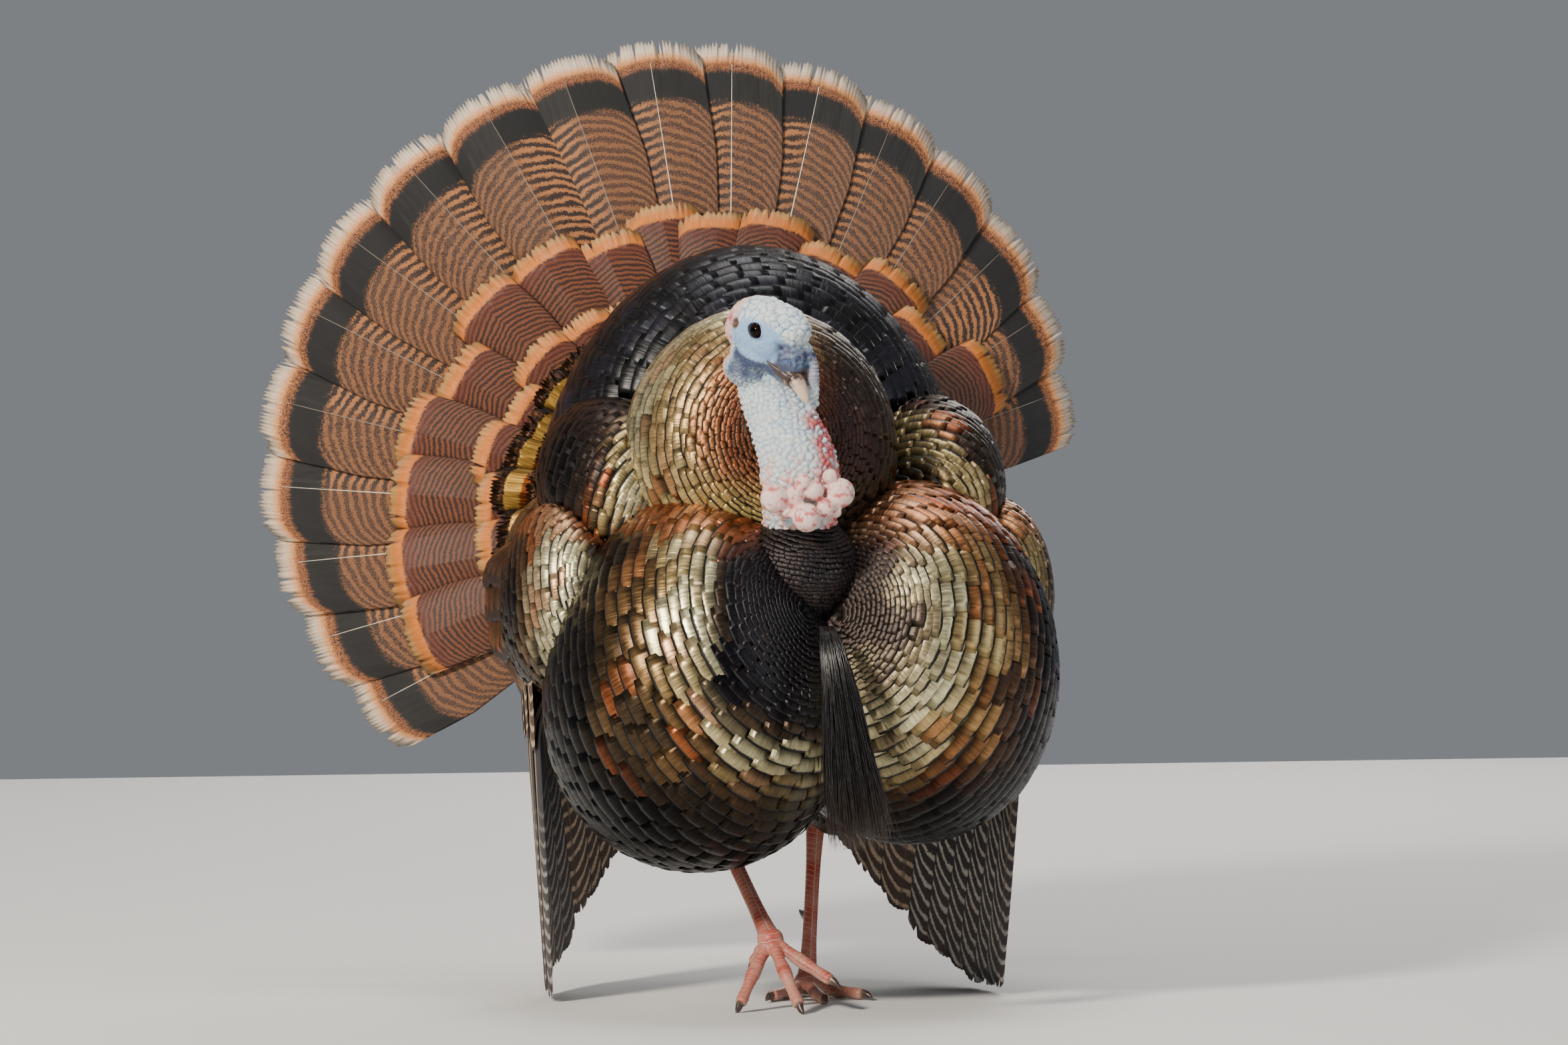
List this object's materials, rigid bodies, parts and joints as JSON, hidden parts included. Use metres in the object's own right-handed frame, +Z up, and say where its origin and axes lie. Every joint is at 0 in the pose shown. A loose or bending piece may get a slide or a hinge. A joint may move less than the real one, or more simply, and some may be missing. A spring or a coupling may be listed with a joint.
{
  "type": "wild turkey",
  "caption": "Life-size still model of a male wild turkey in full strut, with fanned tail, drooped wings, bare wattled head and hanging beard.",
  "frame": {"origin": "on the floor, under the middle of the whole bird's box", "axes": "+Z up; the bird faces -Y and its left side is +X"},
  "size_m": [0.7254, 0.567, 0.8055],
  "materials": {
    "bronze_plumage": "iridescent bronze, gold and green feathers with black edges",
    "black_plumage": "black feathers with a blue-green sheen",
    "barred_plumage": "brown feathers with fine dark bars",
    "flight_feathers": "blackish flight feathers with white bars",
    "tail_feathers": "brown tail feathers, finely barred, with a black band and buff tips",
    "tail_coverts": "chestnut coverts, finely barred, with orange-buff tips",
    "head_skin": "bare white, blue and pink wrinkled skin",
    "wattles": "smooth pink and red flesh",
    "horn": "polished horn",
    "eye": "wet, dark brown",
    "beard": "black hair-like bristles",
    "leg_scutes": "pink-red scutes with pale edges"
  },
  "bodies": {
    "root": {"back": "black_plumage", "beard": "beard", "bill_lower": "horn", "bill_upper": "horn", "breast_left": "bronze_plumage", "breast_right": "bronze_plumage", "eye_left": "eye", "eye_right": "eye", "head": "head_skin", "leg_left_claw_hind": "horn", "leg_left_claw_inner": "horn", "leg_left_claw_middle": "horn", "leg_left_claw_outer": "horn", "leg_left_foot": "leg_scutes", "leg_left_shank": "leg_scutes", "leg_left_spur": "horn", "leg_left_thigh": "black_plumage", "leg_right_claw_hind": "horn", "leg_right_claw_inner": "horn", "leg_right_claw_middle": "horn", "leg_right_claw_outer": "horn", "leg_right_foot": "leg_scutes", "leg_right_shank": "leg_scutes", "leg_right_spur": "horn", "leg_right_thigh": "black_plumage", "neck": "head_skin", "ruff": "bronze_plumage", "snood": "wattles", "tail_feather_left_1": "tail_feathers", "tail_feather_left_2": "tail_feathers", "tail_feather_left_3": "tail_feathers", "tail_feather_left_4": "tail_feathers", "tail_feather_left_5": "tail_feathers", "tail_feather_left_6": "tail_feathers", "tail_feather_left_7": "tail_feathers", "tail_feather_left_8": "tail_feathers", "tail_feather_left_9": "tail_feathers", "tail_feather_right_1": "tail_feathers", "tail_feather_right_2": "tail_feathers", "tail_feather_right_3": "tail_feathers", "tail_feather_right_4": "tail_feathers", "tail_feather_right_5": "tail_feathers", "tail_feather_right_6": "tail_feathers", "tail_feather_right_7": "tail_feathers", "tail_feather_right_8": "tail_feathers", "tail_feather_right_9": "tail_feathers", "trunk": "bronze_plumage", "undertail_coverts": "barred_plumage", "uppertail_coverts": "tail_coverts", "wattles": "wattles", "wing_left_forearm": "bronze_plumage", "wing_left_primaries": "flight_feathers", "wing_left_secondaries": "flight_feathers", "wing_left_shoulder": "bronze_plumage", "wing_left_wrist": "bronze_plumage", "wing_right_forearm": "bronze_plumage", "wing_right_primaries": "flight_feathers", "wing_right_secondaries": "flight_feathers", "wing_right_shoulder": "bronze_plumage", "wing_right_wrist": "bronze_plumage"}
  },
  "joints": []
}
